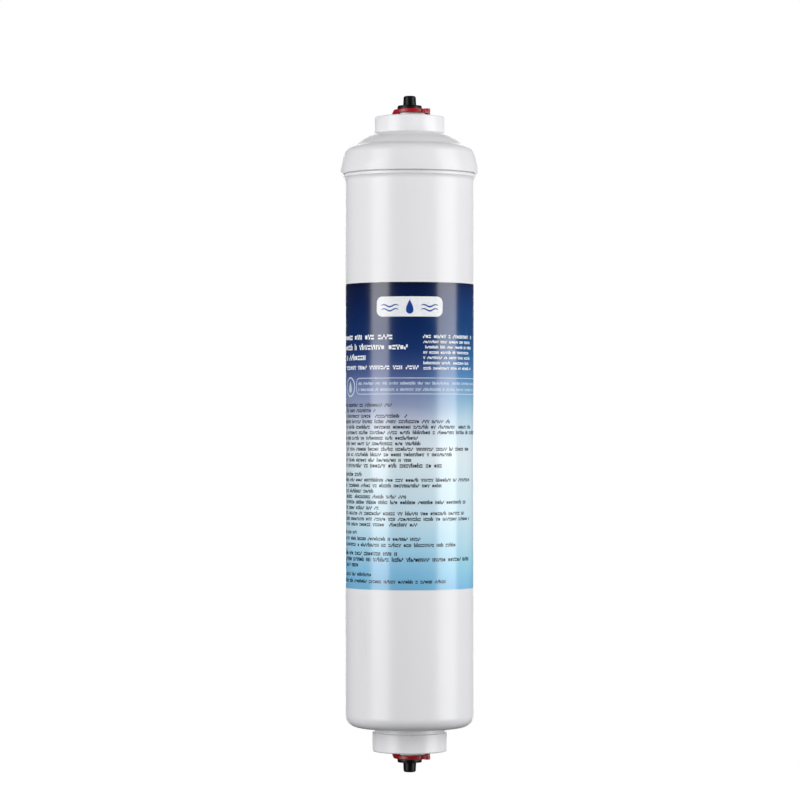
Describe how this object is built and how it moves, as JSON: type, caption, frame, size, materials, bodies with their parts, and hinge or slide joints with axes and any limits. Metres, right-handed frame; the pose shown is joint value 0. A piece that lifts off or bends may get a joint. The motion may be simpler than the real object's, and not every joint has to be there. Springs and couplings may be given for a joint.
{
  "type": "inline water filter",
  "caption": "Sealed inline water filter cartridge: white cylindrical housing with a printed film label and push-in tube ports with clips and plugs at both ends.",
  "frame": {"origin": "on the filter's axis, half way between the two neck faces", "axes": "+Z along the axis to the inlet end with the welded cap; +X the way the locking clips open; -Y the label's front"},
  "size_m": [0.0548, 0.0548, 0.2676],
  "materials": {
    "white_polypropylene": "semi-gloss moulded",
    "printed_film": "glossy printed film, dark blue fading to pale blue",
    "black_acetal": "semi-gloss moulded",
    "black_polypropylene": "semi-gloss moulded",
    "red_acetal": "glossy moulded",
    "retainer_acetal": "satin moulded",
    "stainless_steel": "blanked and polished",
    "seal_rubber": "satin nitrile",
    "pressed_carbon": "matte, granular",
    "nonwoven_fibre": "matte nonwoven",
    "net_polyethylene": "extruded net",
    "natural_polypropylene": "satin moulded"
  },
  "bodies": {
    "housing": {"barrel": "white_polypropylene", "end_cap": "white_polypropylene", "label": "printed_film", "carbon_block": "pressed_carbon", "prefilter_wrap": "nonwoven_fibre", "outer_netting": "net_polyethylene", "core_tube": "natural_polypropylene", "block_top_cap": "natural_polypropylene", "block_bottom_cap": "natural_polypropylene", "spigot_o_rings": "seal_rubber", "inlet_collet_retainer": "retainer_acetal", "inlet_spacer_washer": "retainer_acetal", "inlet_o_ring": "seal_rubber", "outlet_collet_retainer": "retainer_acetal", "outlet_spacer_washer": "retainer_acetal", "outlet_o_ring": "seal_rubber"},
    "inlet_collet": {"inlet_collet": "black_acetal", "inlet_collet_teeth": "stainless_steel"},
    "inlet_clip": {"inlet_locking_clip": "red_acetal"},
    "inlet_plug": {"inlet_plug": "black_polypropylene"},
    "outlet_collet": {"outlet_collet": "black_acetal", "outlet_collet_teeth": "stainless_steel"},
    "outlet_clip": {"outlet_locking_clip": "red_acetal"},
    "outlet_plug": {"outlet_plug": "black_polypropylene"}
  },
  "joints": [
    {"name": "inlet_collet_press", "type": "slide", "parent": "housing", "child": "inlet_collet", "axis": [0, 0, -1], "range_m": [0, 0.00025]},
    {"name": "inlet_clip_slide", "type": "slide", "parent": "housing", "child": "inlet_clip", "axis": [-1, 0, 0], "range_m": [0, 0.018]},
    {"name": "inlet_plug_pull", "type": "slide", "parent": "inlet_collet", "child": "inlet_plug", "axis": [0, 0, 1], "range_m": [0, 0.04]},
    {"name": "outlet_collet_press", "type": "slide", "parent": "housing", "child": "outlet_collet", "axis": [0, 0, 1], "range_m": [0, 0.00025]},
    {"name": "outlet_clip_slide", "type": "slide", "parent": "housing", "child": "outlet_clip", "axis": [-1, 0, 0], "range_m": [0, 0.018]},
    {"name": "outlet_plug_pull", "type": "slide", "parent": "outlet_collet", "child": "outlet_plug", "axis": [0, 0, -1], "range_m": [0, 0.04]}
  ]
}
